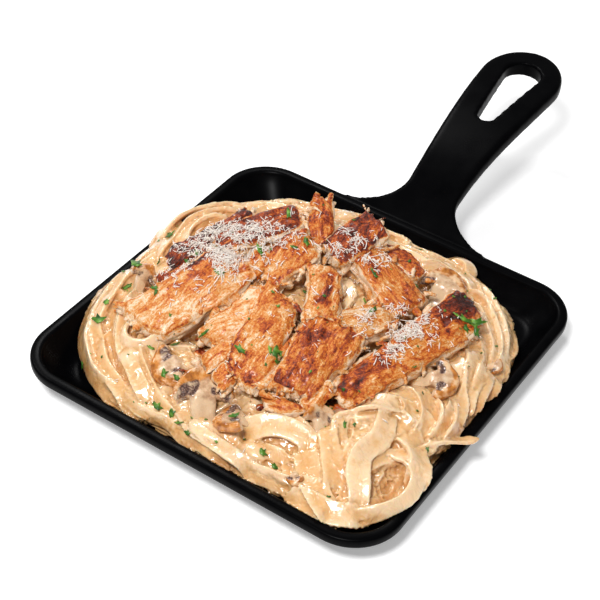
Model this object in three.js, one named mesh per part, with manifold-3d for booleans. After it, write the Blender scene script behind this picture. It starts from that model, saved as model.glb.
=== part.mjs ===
// Fettuccine alfredo with sliced seared chicken and mushrooms, heaped in a square pan with a handle.
// Millimetres, +Z up, +Y along the handle, origin at the centre of the flat base of the pan.
import * as THREE from "three";
import { mergeVertices } from "three/addons/utils/BufferGeometryUtils.js";
import Module from "manifold-3d";

// Pan body: a shallow square dish with round corners.
const PAN_SIDE = 180; // outside, across the rim
const PAN_HEIGHT = 16;
const PAN_CORNER = 22.4; // outside corner radius in plan
const PAN_FLOOR = 3.6; // thickness of the floor
const RIM_WIDTH = 5;
const RIM_BAND = 4.2; // height of the upright outer band below the rim top
const BASE_INSET = 17; // from the rim's outside to the edge of the flat base
const INNER_INSET = 14.5; // from the rim's outside to the edge of the flat inside floor
const LEAST_CORNER = 0.18; // corner radius of the innermost rings, as a share of their half size
const PAN_EASE = 1.6; // rounding of the rim's edges
const PAN_COVE = 2.7; // how high the round between floor and wall climbs
const PAN_SEGMENTS = 40;
const CORNER_DRAW = 0.09; // how strongly the segments gather at the corners

// Handle: a flat bar that leaves the rim steeply, levels out, widens and ends round, with a hanging slot.
const HANDLE_ROOT = 86;
const HANDLE_NECK = 108;
const HANDLE_WIDE = 188;
const HANDLE_END = 211;
const HANDLE_ROOT_HALF = 45;
const HANDLE_NECK_HALF = 13.7;
const HANDLE_WIDE_HALF = 20.4;
const HANDLE_RISE = 34.2;
const HANDLE_RISE_LENGTH = 42.8;
const HANDLE_THICK = 7.6;
const HANDLE_EDGE = 2.4; // rounding of the long edges
const SLOT_START = 151;
const SLOT_END = 200;
const SLOT_HALF_START = 4.6;
const SLOT_HALF_END = 9.2;

// Heap of noodles: corner radii of its outline, and the reach and height of its edge every 45 degrees
// from +X.
const HEAP_BASE_HALF = 72.3;
const HEAP_BELT_HALF = 79;
const HEAP_BELT_Z = 8;
const HEAP_CORNERS = { rightFar: 61, leftFar: 62, leftNear: 43, rightNear: 21 };
const HEAP_REACH = [85.5, 84, 80, 83, 86, 83, 83.5, 84];
const HEAP_EDGE = [20, 13, 16, 14, 21, 14, 14.5, 15];
const HEAP_CREST = 43;
const HEAP_CREST_AT = [-8, 4];
const HEAP_SHOULDER = 1.6; // 1 gives a cone, more gives a rounder dome
const HEAP_FOLD = 1.1; // height of the folds that the noodles make
const HEAP_WOBBLE = 0.006; // unevenness of the edge, as a share of the reach
const HEAP_RINGS = 6;
const RING_SPACING = 0.9; // below 1 the rings crowd towards the edge
const [FOOT_ROW, BELT_ROW, EDGE_ROW] = [1, 2, 3];
const HEAP_SEGMENTS = 30;

const GAP = 0.35; // clearance between touching pieces

// Looks of the plain meshes.
const BLACK = { colour: 0x0b0b0c, roughness: 0.42 };
const MEAT = { colour: 0xd08a4a, roughness: 0.55 };
const FLESH = { colour: 0xc9ad8c, roughness: 0.4 };
const PASTA = { colour: 0xe6c79a, roughness: 0.35 };

// Chicken slices, highest first. Each has the middle of its top face; its yaw, pitch and roll in degrees;
// its length, width and thickness; then its taper (how much wider the far end is), its bow (sideways bend),
// its sag (how far both ends drop) and its skew (slant of the cut ends).
const SMALL_SLICE = 26; // shorter slices have fewer facets
const SLICE_ROUNDNESS = 7; // higher is squarer
const SLICE_UNEVEN = 0.07; // how much the width wanders, as a share of it
const SLICE_CROWN = 0.8; // how far the long edges drop below the middle
const SLICE_RIPPLE = 0.4;
function slice(name, at, [yaw, pitch, roll], [long, wide, thick], [taper, bow, sag, skew]) {
  const small = long < SMALL_SLICE;
  return { name, at, yaw, pitch, roll, long, wide, thick, taper, bow, sag, skew, small };
}
const CHICKEN = [
  slice("chicken_center", [3, -38, 44.5], [99, 16, 8], [44, 19, 9], [0.05, 1.5, 1, 0.55]),
  slice("chicken_front", [26.5, -33, 42], [90, 14, 17], [40, 22.5, 11], [0.15, -1, 1.5, -0.2]),
  slice("chicken_middle", [12, -8, 49], [118, 8, 7], [36, 15, 9], [0.1, 2, 1.5, 0.2]),
  slice("chicken_left", [-37, -33, 43], [65, 18, 20], [54, 24, 11], [-0.12, 2, 2, -0.3]),
  slice("chicken_top", [-13, 2, 50.5], [74, 15, 5], [27, 17, 8], [0.1, 0, 1.5, 0.1]),
  slice("chicken_far", [-33.5, 9, 52.5], [55, 7, -2], [42, 17, 9], [0.1, 1, 2, 0.2]),
  slice("chicken_right", [52.3, 0, 36.5], [77, 1, 18], [81, 19, 10], [0.18, 2, 1.5, 0.35]),
  slice("chicken_right_top", [25, 24, 42.5], [163, 19, 2], [34, 19, 9], [-0.12, -1, 1, 0.1]),
  slice("chicken_back", [3.5, 30.5, 51], [78, 6, 11], [31, 17, 9], [0.08, 0, 1, 0.25]),
  slice("chicken_inner", [31, -3, 42], [62, -14, 9], [28, 17, 8], [-0.1, 0, 1, 0.2]),
  slice("chicken_chunk", [-22, -8, 47.5], [61, 22, 3], [15, 12, 9], [0.1, 0, 0.5, 0.1]),
  slice("chicken_narrow", [-14, -33, 42], [78, 20, 7], [33, 13, 9], [-0.1, 1, 1, -0.2]),
  slice("chicken_upright", [-13, 28, 52], [119, 24, 0], [24, 11, 8], [-0.35, 0, 0.5, 0]),
  slice("chicken_left_far", [-49, -4, 46.5], [54, 19, 1], [44, 15, 8], [0.1, 1, 2, 0.2]),
  slice("chicken_left_inner", [-45, -16, 41.5], [54, 18, 2], [44, 14, 8], [0, 1, 2, 0.1]),
  slice("chicken_bit_back", [23, 42, 40], [172, 15, 5], [21, 10, 6], [0, 1, 1, 0.2]),
  slice("chicken_bit_left", [-10, -52, 35], [60, 22, 10], [14, 9, 6], [-0.2, 0, 0.5, 0.2]),
  slice("chicken_bit_lower", [-2, -54, 34], [86, 20, 0], [16, 9, 6], [-0.1, 0, 0.5, 0]),
  slice("chicken_bit_front", [25, -55, 31.5], [14, -2, 12], [18, 5, 4], [-0.1, 1, 0.5, 0]),
  slice("chicken_shard", [35, -45, 33.5], [74, 20, 14], [14, 6, 4], [-0.2, 1, 0.5, 0]),
];

// Mushroom slices, highest first. Each has its middle; the plan direction that its cap points in, how far
// the cap lifts and its turn about the stem, in degrees; then the width of the cap and the length of the
// stem below it.
function mushroom(name, at, [yaw, pitch, roll], [cap, stem]) {
  return { name, at, yaw, pitch, roll, cap, stem };
}
const MUSHROOMS = [
  mushroom("mushroom_right_far", [41, 44, 31], [100, 4, 8], [23, 9]),
  mushroom("mushroom_right", [67, -3, 27.5], [25, -6, 16], [19, 12]),
  mushroom("mushroom_left", [-25, -60, 27], [-118, -16, -10], [23, 9]),
  mushroom("mushroom_large", [-6, -66, 26], [128, 20, 14], [27, 13]),
  mushroom("mushroom_front_left", [12, -68, 25], [-135, -12, 22], [21, 9]),
  mushroom("mushroom_front", [41, -51, 27.5], [120, 12, 30], [17, 8]),
  mushroom("mushroom_gap", [15, -46, 32.5], [100, 15, 20], [9, 5]),
  mushroom("mushroom_near_wall", [46, -76, 19.5], [-60, -14, 20], [8, 5]),
  mushroom("mushroom_far_left", [-67, -27, 30], [70, 40, 65], [14, 6]),
  mushroom("mushroom_near_rim", [80, 23, 22], [10, -12, 20], [8, 4]),
];
const MUSHROOM_THICK = 4.2;
const MUSHROOM_BEVEL = 0.9;
const LARGE_CAP = 15; // smaller caps have fewer facets

const degrees = THREE.MathUtils.degToRad;
const smooth = (a, b, t) => a + (b - a) * THREE.MathUtils.smoothstep(t, 0, 1);

// ---- Solids ----

const wasm = await Module();
wasm.setup();

// A closed geometry, moved by a matrix, as a solid that can be joined and cut.
function solidFrom(geometry, matrix) {
  const bare = geometry.clone();
  bare.deleteAttribute("normal");
  bare.deleteAttribute("uv");
  if (matrix) bare.applyMatrix4(matrix);
  const merged = mergeVertices(bare, 1e-4);
  return new wasm.Manifold(
    new wasm.Mesh({
      numProp: 3,
      vertProperties: merged.attributes.position.array,
      triVerts: new Uint32Array(merged.index.array),
    }),
  );
}

function geometryFrom(solid) {
  const mesh = solid.getMesh();
  const geometry = new THREE.BufferGeometry();
  geometry.setAttribute("position", new THREE.BufferAttribute(mesh.vertProperties, 3));
  geometry.setIndex(new THREE.BufferAttribute(mesh.triVerts, 1));
  geometry.computeVertexNormals();
  return geometry;
}

const largestBody = (solid) =>
  solid.decompose().reduce((best, body) => (body.volume() > best.volume() ? body : best));

// Moves each vertex of a geometry by a function that changes it in place.
function reshape(geometry, move) {
  const positions = geometry.getAttribute("position");
  const point = new THREE.Vector3();
  for (let i = 0; i < positions.count; i++) {
    point.fromBufferAttribute(positions, i);
    move(point);
    positions.setXYZ(i, point.x, point.y, point.z);
  }
  return geometry;
}

// The point at a polar angle on a square of half size `half` with round corners; `corner` gives each
// corner's radius.
function roundedSquarePoint(angle, half, corner) {
  const x = Math.cos(angle);
  const y = Math.sin(angle);
  const radius = Math.min(corner(x, y), half);
  const straight = half - radius;
  const reach = half / Math.max(Math.abs(x), Math.abs(y));
  const sideX = Math.abs(x * reach);
  const sideY = Math.abs(y * reach);
  if (Math.min(sideX, sideY) <= straight) return new THREE.Vector2(x * reach, y * reach);
  // The ray meets the corner's arc, whose centre is (straight, straight) in the first quadrant.
  const toCentre = straight * (Math.abs(x) + Math.abs(y));
  const root = Math.sqrt(toCentre * toCentre - 2 * straight * straight + radius * radius);
  return new THREE.Vector2(x, y).multiplyScalar(toCentre + root);
}

// ---- Pan ----

function panBody() {
  const half = PAN_SIDE / 2;
  const top = PAN_HEIGHT;
  // Profile as [distance in from the rim's outside, height], from the middle of the base round to the
  // middle of the floor.
  const section = [
    [half, 0],
    [BASE_INSET, 0],
    [BASE_INSET - 0.8 * PAN_EASE, 0.3 * PAN_EASE],
    [PAN_EASE, top - RIM_BAND - 0.9 * PAN_EASE],
    [0.1 * PAN_EASE, top - RIM_BAND],
    [0, top - PAN_EASE],
    [0.2 * RIM_WIDTH, top - 0.2 * PAN_EASE],
    [0.6 * RIM_WIDTH, top],
    [0.9 * RIM_WIDTH, top - 0.3 * PAN_EASE],
    [1.06 * RIM_WIDTH, top - PAN_EASE],
    [INNER_INSET - PAN_COVE, PAN_FLOOR + PAN_COVE],
    [INNER_INSET - 0.2 * PAN_COVE, PAN_FLOOR + 0.3 * PAN_COVE],
    [INNER_INSET + 0.8 * PAN_COVE, PAN_FLOOR],
    [half, PAN_FLOOR],
  ];
  const profile = section.map(([inset, z]) => new THREE.Vector2(half - inset, z));
  const lathe = new THREE.LatheGeometry(profile, PAN_SEGMENTS);
  lathe.rotateX(Math.PI / 2);
  // Each round ring becomes a square one, with its segments shared evenly between the sides and the corners.
  return reshape(lathe, (p) => {
    const size = Math.hypot(p.x, p.y);
    if (size < 1e-6) return;
    const corner = Math.max(PAN_CORNER - (half - size), LEAST_CORNER * size);
    const ring = roundedSquarePoint(evenAngle(Math.atan2(p.y, p.x)), size, () => corner);
    p.x = ring.x;
    p.y = ring.y;
  });
}

// Draws the segments of a ring towards the corners, where the outline bends.
function evenAngle(angle) {
  const quarter = Math.PI / 2;
  const within = THREE.MathUtils.euclideanModulo(angle, quarter) / quarter;
  return angle + CORNER_DRAW * quarter * Math.sin(2 * Math.PI * within);
}

const handleTop = (y) => {
  const out = Math.max(y - PAN_SIDE / 2, 0);
  return PAN_HEIGHT - 0.15 + HANDLE_RISE * (1 - Math.exp(-out / HANDLE_RISE_LENGTH));
};

function handleHalfWidth(y) {
  if (y < HANDLE_NECK) {
    const t = (HANDLE_NECK - Math.max(y, PAN_SIDE / 2)) / (HANDLE_NECK - PAN_SIDE / 2);
    const flare = 1 - Math.sqrt(1 - t * t);
    return HANDLE_NECK_HALF + (HANDLE_ROOT_HALF - HANDLE_NECK_HALF) * flare;
  }
  const t = THREE.MathUtils.clamp((y - HANDLE_NECK) / (HANDLE_WIDE - HANDLE_NECK), 0, 1);
  const widening = (t + THREE.MathUtils.smoothstep(t, 0, 1)) / 2;
  const half = HANDLE_NECK_HALF + (HANDLE_WIDE_HALF - HANDLE_NECK_HALF) * widening;
  if (y <= HANDLE_WIDE) return half;
  const end = (y - HANDLE_WIDE) / (HANDLE_END - HANDLE_WIDE);
  return half * Math.sqrt(Math.max(1 - end * end, 0.02));
}

function handleBar() {
  const across = 4;
  const along = 22;
  const through = 2;
  const box = new THREE.BoxGeometry(2, 2, 2, across, along, through);
  return reshape(box, (p) => {
    const t = (p.y + 1) / 2;
    // Stations crowd together at the curved root and at the round end.
    const y = smooth(HANDLE_ROOT, HANDLE_END, (t + Math.sin((t * Math.PI) / 2)) / 2);
    const half = handleHalfWidth(y);
    // The flat of the bar runs almost to its long edges, which are then eased.
    const side = Math.abs(p.x);
    const thick = HANDLE_THICK / 2 - (side > 0.9 ? HANDLE_EDGE * 0.7 : 0);
    const flat = half - Math.min(HANDLE_EDGE, half * 0.4);
    p.x = side > 0.4 && side < 0.9 ? Math.sign(p.x) * flat : p.x * half;
    p.z = handleTop(y) - HANDLE_THICK / 2 + p.z * thick;
    p.y = y;
  });
}

function slotCutter() {
  const outline = new THREE.Shape();
  const start = SLOT_START + SLOT_HALF_START;
  const end = SLOT_END - SLOT_HALF_END;
  outline.absarc(0, end, SLOT_HALF_END, -0.1, Math.PI + 0.1, false);
  outline.absarc(0, start, SLOT_HALF_START, Math.PI + 0.1, 2 * Math.PI - 0.1, false);
  outline.closePath();
  return new THREE.ExtrudeGeometry(outline, { depth: 60, bevelEnabled: false, curveSegments: 7 });
}

function panSolid() {
  const slot = solidFrom(slotCutter(), new THREE.Matrix4().makeTranslation(0, 0, 10));
  return solidFrom(panBody()).add(solidFrom(handleBar()).subtract(slot));
}

// ---- Noodle heap ----

// A value that goes smoothly round eight directions.
function around(values, angle) {
  const place = THREE.MathUtils.euclideanModulo(angle / (Math.PI / 4), 8);
  const from = Math.floor(place);
  return smooth(values[from % 8], values[(from + 1) % 8], place - from);
}

function heapCorner(x, y) {
  if (x >= 0) return y >= 0 ? HEAP_CORNERS.rightFar : HEAP_CORNERS.rightNear;
  return y >= 0 ? HEAP_CORNERS.leftFar : HEAP_CORNERS.leftNear;
}

const heapFold = (x, y) =>
  HEAP_FOLD * (Math.sin(x * 0.19 + y * 0.07) + 0.8 * Math.sin(y * 0.23 - x * 0.11 + 1.7));

// The heap is turned as a stack of rings whose number stands in for their height, and then shaped:
// 0 is the middle of the bottom, 1 the foot, 2 the belt, 3 the edge, and the rest climb to the crest.
function heapRings() {
  const crestRow = HEAP_RINGS + EDGE_ROW;
  const profile = [[0, 0], [1, FOOT_ROW], [1, BELT_ROW]];
  for (let ring = HEAP_RINGS; ring >= 0; ring--) profile.push([ring / HEAP_RINGS, crestRow - ring]);
  const points = profile.map(([reach, row]) => new THREE.Vector2(reach, row));
  return new THREE.LatheGeometry(points, HEAP_SEGMENTS).rotateX(Math.PI / 2);
}

function heapHalf(row, angle) {
  if (row === FOOT_ROW) return HEAP_BASE_HALF;
  if (row === BELT_ROW) return HEAP_BELT_HALF;
  const wobble = 2 + Math.sin(angle * 9 + 1) + Math.sin(angle * 17);
  return around(HEAP_REACH, angle) * (1 - HEAP_WOBBLE * wobble);
}

function heapGeometry() {
  const [crestX, crestY] = HEAP_CREST_AT;
  return reshape(heapRings(), (p) => {
    const row = Math.round(p.z);
    const angle = Math.atan2(p.y, p.x);
    const share = Math.min(Math.hypot(p.x, p.y), 1);
    const edge = roundedSquarePoint(angle, heapHalf(row, angle), heapCorner);
    const outward = share ** RING_SPACING;
    p.x = row === 0 ? 0 : crestX * (1 - outward) + edge.x * outward;
    p.y = row === 0 ? 0 : crestY * (1 - outward) + edge.y * outward;
    if (row <= FOOT_ROW) p.z = PAN_FLOOR + GAP;
    else if (row === BELT_ROW) p.z = HEAP_BELT_Z;
    else {
      const rise = 1 - outward ** HEAP_SHOULDER;
      const fold = row === EDGE_ROW ? 0 : heapFold(p.x, p.y);
      p.z = around(HEAP_EDGE, angle) * (1 - rise) + HEAP_CREST * rise + fold;
    }
  });
}

// ---- Chicken ----

// A slab cut from a breast: rounded, bent, wider at one end and slightly uneven.
function sliceGeometry(s, grow) {
  const [along, across, through] = s.small ? [3, 2, 2] : [5, 3, 2];
  const box = new THREE.BoxGeometry(2, 2, 2, along, across, through);
  const seed = s.at[0] * 0.7 + s.at[1] * 1.3;
  return reshape(box, (p) => {
    const size = Math.max(Math.abs(p.x), Math.abs(p.y), Math.abs(p.z));
    const powers = [p.x, p.y, p.z].map((side) => Math.abs(side) ** SLICE_ROUNDNESS);
    p.multiplyScalar(size / (powers[0] + powers[1] + powers[2]) ** (1 / SLICE_ROUNDNESS));
    const u = p.x;
    const v = p.y;
    const uneven = 1 + SLICE_UNEVEN * (Math.sin(3.1 * u + seed) + 0.6 * Math.sin(5.3 * u - seed));
    p.x = u * (s.long / 2 + grow) + s.skew * v * (s.wide / 2);
    p.y = v * ((s.wide / 2) * (1 + s.taper * u) * uneven + grow) + s.bow * (u * u - 0.4);
    const ripple = SLICE_RIPPLE * Math.sin(4 * u + 2 * v + seed);
    p.z = p.z * (s.thick / 2 + grow) - s.sag * u * u - SLICE_CROWN * v * v + ripple;
  });
}

// Turns about the piece's own long axis, then lifts its far end, then turns in plan.
function placement({ at, yaw, pitch, roll }, drop) {
  const turn = new THREE.Euler(degrees(roll), degrees(-pitch), degrees(yaw), "ZYX");
  const rotation = new THREE.Matrix4().makeRotationFromEuler(turn);
  return new THREE.Matrix4()
    .makeTranslation(...at)
    .multiply(rotation)
    .multiply(new THREE.Matrix4().makeTranslation(0, 0, -drop));
}

// ---- Mushrooms ----

// The outline of a sliced mushroom: a domed cap with curled-in gill edges over a short stem, cap towards +X.
function mushroomGeometry(m, grow) {
  const half = m.cap / 2;
  const dome = m.cap * 0.46;
  const waist = m.cap * 0.17;
  const foot = m.cap * 0.19;
  const outline = new THREE.Shape();
  outline.moveTo(-m.stem, foot * 0.8);
  outline.quadraticCurveTo(-m.stem - foot * 0.7, 0, -m.stem, -foot * 0.8);
  outline.quadraticCurveTo(-m.stem * 0.5, -waist, -dome * 0.1, -waist * 1.1);
  outline.quadraticCurveTo(-dome * 0.12, -half * 0.6, -dome * 0.24, -half * 0.84);
  outline.quadraticCurveTo(-dome * 0.02, -half * 1.06, dome * 0.25, -half * 0.88);
  outline.bezierCurveTo(dome * 0.85, -half * 0.6, dome, -half * 0.3, dome, 0);
  outline.bezierCurveTo(dome, half * 0.3, dome * 0.85, half * 0.6, dome * 0.25, half * 0.88);
  outline.quadraticCurveTo(-dome * 0.02, half * 1.06, -dome * 0.24, half * 0.84);
  outline.quadraticCurveTo(-dome * 0.12, half * 0.6, -dome * 0.1, waist * 1.1);
  outline.quadraticCurveTo(-m.stem * 0.5, waist, -m.stem, foot * 0.8);
  const thick = Math.min(MUSHROOM_THICK, m.cap * 0.35);
  const bevel = Math.min(MUSHROOM_BEVEL, m.cap * 0.045);
  const geometry = new THREE.ExtrudeGeometry(outline, {
    depth: thick - 2 * bevel,
    bevelThickness: bevel + grow,
    bevelSize: bevel,
    bevelOffset: grow - bevel,
    bevelSegments: 1,
    curveSegments: m.cap > LARGE_CAP ? 2 : 1,
  });
  geometry.translate(0, 0, bevel - thick / 2);
  return geometry;
}

// ---- Assembly ----

const dish = new THREE.Group();

function addMesh(name, geometry, { colour, roughness }) {
  const material = new THREE.MeshStandardMaterial({ color: colour, roughness, metalness: 0 });
  const mesh = new THREE.Mesh(geometry, material);
  mesh.name = name;
  dish.add(mesh);
  return mesh;
}

const pan = panSolid();
addMesh("pan", geometryFrom(pan), BLACK);

// Each piece is cut back where a higher one lies on it, and the heap is cut by them all.
const pieces = [
  ...CHICKEN.map((s) => ({ ...s, make: sliceGeometry, drop: s.thick / 2, ...MEAT })),
  ...MUSHROOMS.map((m) => ({ ...m, make: mushroomGeometry, drop: 0, ...FLESH })),
];
let above = null;
for (const piece of pieces) {
  const place = placement(piece, piece.drop);
  const whole = solidFrom(piece.make(piece, 0), place);
  const solid = above ? largestBody(whole.subtract(above)) : whole;
  const geometry = geometryFrom(solid).applyMatrix4(place.clone().invert());
  addMesh(piece.name, geometry, piece).applyMatrix4(place);
  const grown = solidFrom(piece.make(piece, GAP), place);
  above = above ? above.add(grown) : grown;
}
const heap = largestBody(solidFrom(heapGeometry()).subtract(above));
addMesh("noodles", geometryFrom(heap), PASTA);

export default dish;
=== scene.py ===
"""Fettuccine alfredo with seared chicken and mushrooms, in a square pan with a handle.

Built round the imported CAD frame.
"""
import math

import bpy
import numpy as np
from mathutils import Matrix, Vector
from mathutils.bvhtree import BVHTree
from mathutils.kdtree import KDTree


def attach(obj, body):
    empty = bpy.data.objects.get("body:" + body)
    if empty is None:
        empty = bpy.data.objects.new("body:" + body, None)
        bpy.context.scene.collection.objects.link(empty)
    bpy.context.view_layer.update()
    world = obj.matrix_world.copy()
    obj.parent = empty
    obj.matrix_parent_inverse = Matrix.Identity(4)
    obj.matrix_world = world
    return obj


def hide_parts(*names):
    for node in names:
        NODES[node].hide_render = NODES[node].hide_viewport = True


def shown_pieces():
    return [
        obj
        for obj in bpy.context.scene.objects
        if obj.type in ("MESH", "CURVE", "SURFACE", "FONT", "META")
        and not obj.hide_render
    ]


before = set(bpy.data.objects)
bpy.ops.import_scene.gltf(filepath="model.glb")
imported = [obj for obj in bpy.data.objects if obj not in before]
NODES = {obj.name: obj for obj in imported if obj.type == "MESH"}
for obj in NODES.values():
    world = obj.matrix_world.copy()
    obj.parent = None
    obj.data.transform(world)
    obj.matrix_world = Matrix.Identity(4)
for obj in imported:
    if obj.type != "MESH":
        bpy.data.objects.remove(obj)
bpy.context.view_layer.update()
CHICKEN = sorted(n for n in NODES if n.startswith("chicken_"))
MUSHROOMS = sorted(n for n in NODES if n.startswith("mushroom_"))
MM = 0.001  # this script measures in millimetres and makes its meshes in metres
rng = np.random.default_rng(11)


# ---- Noise and fields, on numpy arrays ----

def lattice(cell, seed):
    """A repeatable random number from 0 to 1 for each integer cell."""
    mixed = (cell @ np.array([374761393, 668265263, 915488749]) + seed * 97463477) & 0xFFFFFFFF
    mixed = ((mixed ^ (mixed >> 13)) * 1274126177) & 0xFFFFFFFF
    return ((mixed ^ (mixed >> 16)) & 0xFFFF) / 65535.0


def noise(points, size, seed=0):
    """Smooth noise from -1 to 1 with bumps about `size` across."""
    place = np.asarray(points, float) / size
    cell = np.floor(place).astype(np.int64)
    part = place - cell
    part = part * part * (3 - 2 * part)
    total = np.zeros(len(place))
    for corner in np.ndindex(2, 2, 2):
        weight = np.prod(np.where(corner, part, 1 - part), axis=1)
        total += weight * lattice(cell + np.array(corner), seed)
    return total * 2 - 1


def smoothstep(low, high, value):
    share = np.clip((value - low) / (high - low), 0, 1)
    return share * share * (3 - 2 * share)


def smooth_route(points, step):
    """Points along a Catmull-Rom curve through the given points, about `step` apart."""
    given = np.asarray(points, float)
    padded = np.vstack([2 * given[0] - given[1], given, 2 * given[-1] - given[-2]])
    fine = []
    for before, start, end, after in zip(padded, padded[1:], padded[2:], padded[3:]):
        bend = 2 * before - 5 * start + 4 * end - after
        twist = 3 * start - before - 3 * end + after
        for t in np.linspace(0, 1, 16, endpoint=False):
            fine.append(0.5 * (2 * start + (end - before) * t + bend * t ** 2 + twist * t ** 3))
    fine = np.array(fine + [given[-1]])
    run = np.concatenate([[0], np.cumsum(np.linalg.norm(np.diff(fine, axis=0), axis=1))])
    stations = np.linspace(0, run[-1], max(int(run[-1] / step), 4) + 1)
    return np.stack([np.interp(stations, run, column) for column in fine.T], axis=1)


def blur_line(values, times):
    """A row of values averaged with its neighbours, ends held."""
    for _ in range(times):
        padded = np.pad(values, 1, mode="edge")
        values = (padded[:-2] + 2 * padded[1:-1] + padded[2:]) / 4
    return values


# ---- Meshes ----

def mesh_object(name, points_mm, faces):
    mesh = bpy.data.meshes.new(name)
    mesh.from_pydata((np.asarray(points_mm) * MM).tolist(), [], faces)
    mesh.update()
    made = bpy.data.objects.new(name, mesh)
    bpy.context.scene.collection.objects.link(made)
    return made


def copy_of(node, name):
    """A new object with a CAD node's shape, its corners welded."""
    mesh = NODES[node].data.copy()
    mesh.materials.clear()
    made = bpy.data.objects.new(name, mesh)
    bpy.context.scene.collection.objects.link(made)
    weld = made.modifiers.new("weld", "WELD")
    weld.merge_threshold = 0.02 * MM
    return made


def applied(piece):
    """Bakes a piece's modifiers into its mesh."""
    bpy.context.view_layer.update()
    shaped = piece.evaluated_get(bpy.context.evaluated_depsgraph_get())
    mesh = bpy.data.meshes.new_from_object(shaped)
    piece.modifiers.clear()
    piece.data = mesh
    return piece


def remeshed(piece, voxel_mm, smoothing):
    fine = piece.modifiers.new("voxels", "REMESH")
    fine.mode = "VOXEL"
    fine.voxel_size = voxel_mm * MM
    ease = piece.modifiers.new("ease", "SMOOTH")
    ease.factor = 0.5
    ease.iterations = smoothing
    return applied(piece)


def points_of(piece):
    flat = np.empty(len(piece.data.vertices) * 3, np.float32)
    piece.data.vertices.foreach_get("co", flat)
    return flat.reshape(-1, 3).astype(float) / MM


def normals_of(piece):
    flat = np.empty(len(piece.data.vertices) * 3, np.float32)
    piece.data.vertices.foreach_get("normal", flat)
    return flat.reshape(-1, 3).astype(float)


def set_points(piece, points_mm):
    piece.data.vertices.foreach_set("co", (points_mm * MM).astype(np.float32).ravel())
    piece.data.update()


def set_attribute(piece, name, values):
    layer = piece.data.attributes.new(name, "FLOAT", "POINT")
    layer.data.foreach_set("value", np.asarray(values, np.float32))


def set_vector(piece, name, values_mm):
    layer = piece.data.attributes.new(name, "FLOAT_VECTOR", "POINT")
    layer.data.foreach_set("vector", (np.asarray(values_mm) * MM).astype(np.float32).ravel())


def tube_faces(rows, around, first=0):
    """Quads between rings of points that follow each other, and a cap at either end."""
    faces = []
    for row in range(rows - 1):
        for k in range(around):
            a, b = first + row * around + k, first + row * around + (k + 1) % around
            faces.append((a, b, b + around, a + around))
    faces.append(tuple(range(first, first + around))[::-1])
    faces.append(tuple(range(first + (rows - 1) * around, first + rows * around)))
    return faces


class Bits:
    """Collects many small closed shapes into one mesh."""

    def __init__(self):
        self.points, self.faces, self.count = [], [], 0

    def add(self, points, faces):
        self.points.append(points)
        self.faces += [tuple(k + self.count for k in face) for face in faces]
        self.count += len(points)

    def make(self, name):
        return mesh_object(name, np.vstack(self.points), self.faces)


def finish_piece(piece, material, slot, *replaced):
    piece.data.materials.clear()
    piece.data.materials.append(material)
    piece.data.polygons.foreach_set("use_smooth", np.ones(len(piece.data.polygons), bool))
    piece.data.update()
    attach(piece, "root")
    if replaced:
        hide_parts(*replaced)
    return piece


def finder(*pieces):
    """Search trees of the given objects, for dropping rays on them."""
    graph = bpy.context.evaluated_depsgraph_get()
    return [BVHTree.FromObject(p, graph) for p in pieces]


def cast(trees, x, y, z, downwards=True):
    """The first point hit, and its normal, straight down or up from a point, in millimetres, or None."""
    start, way = Vector((x, y, z)) * MM, Vector((0, 0, -1 if downwards else 1))
    best = None
    for tree in trees:
        spot, normal, _, distance = tree.ray_cast(start, way)
        if spot is not None and (best is None or distance < best[2]):
            best = (np.array(spot) / MM, np.array(normal), distance)
    return best


# ---- Materials ----

def colour(red, green, blue):
    """A linear colour from the usual 0 to 255 values."""
    shares = [value / 255 for value in (red, green, blue)]
    return tuple(((s + 0.055) / 1.055) ** 2.4 if s > 0.04 else s / 12.92 for s in shares) + (1,)


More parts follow.
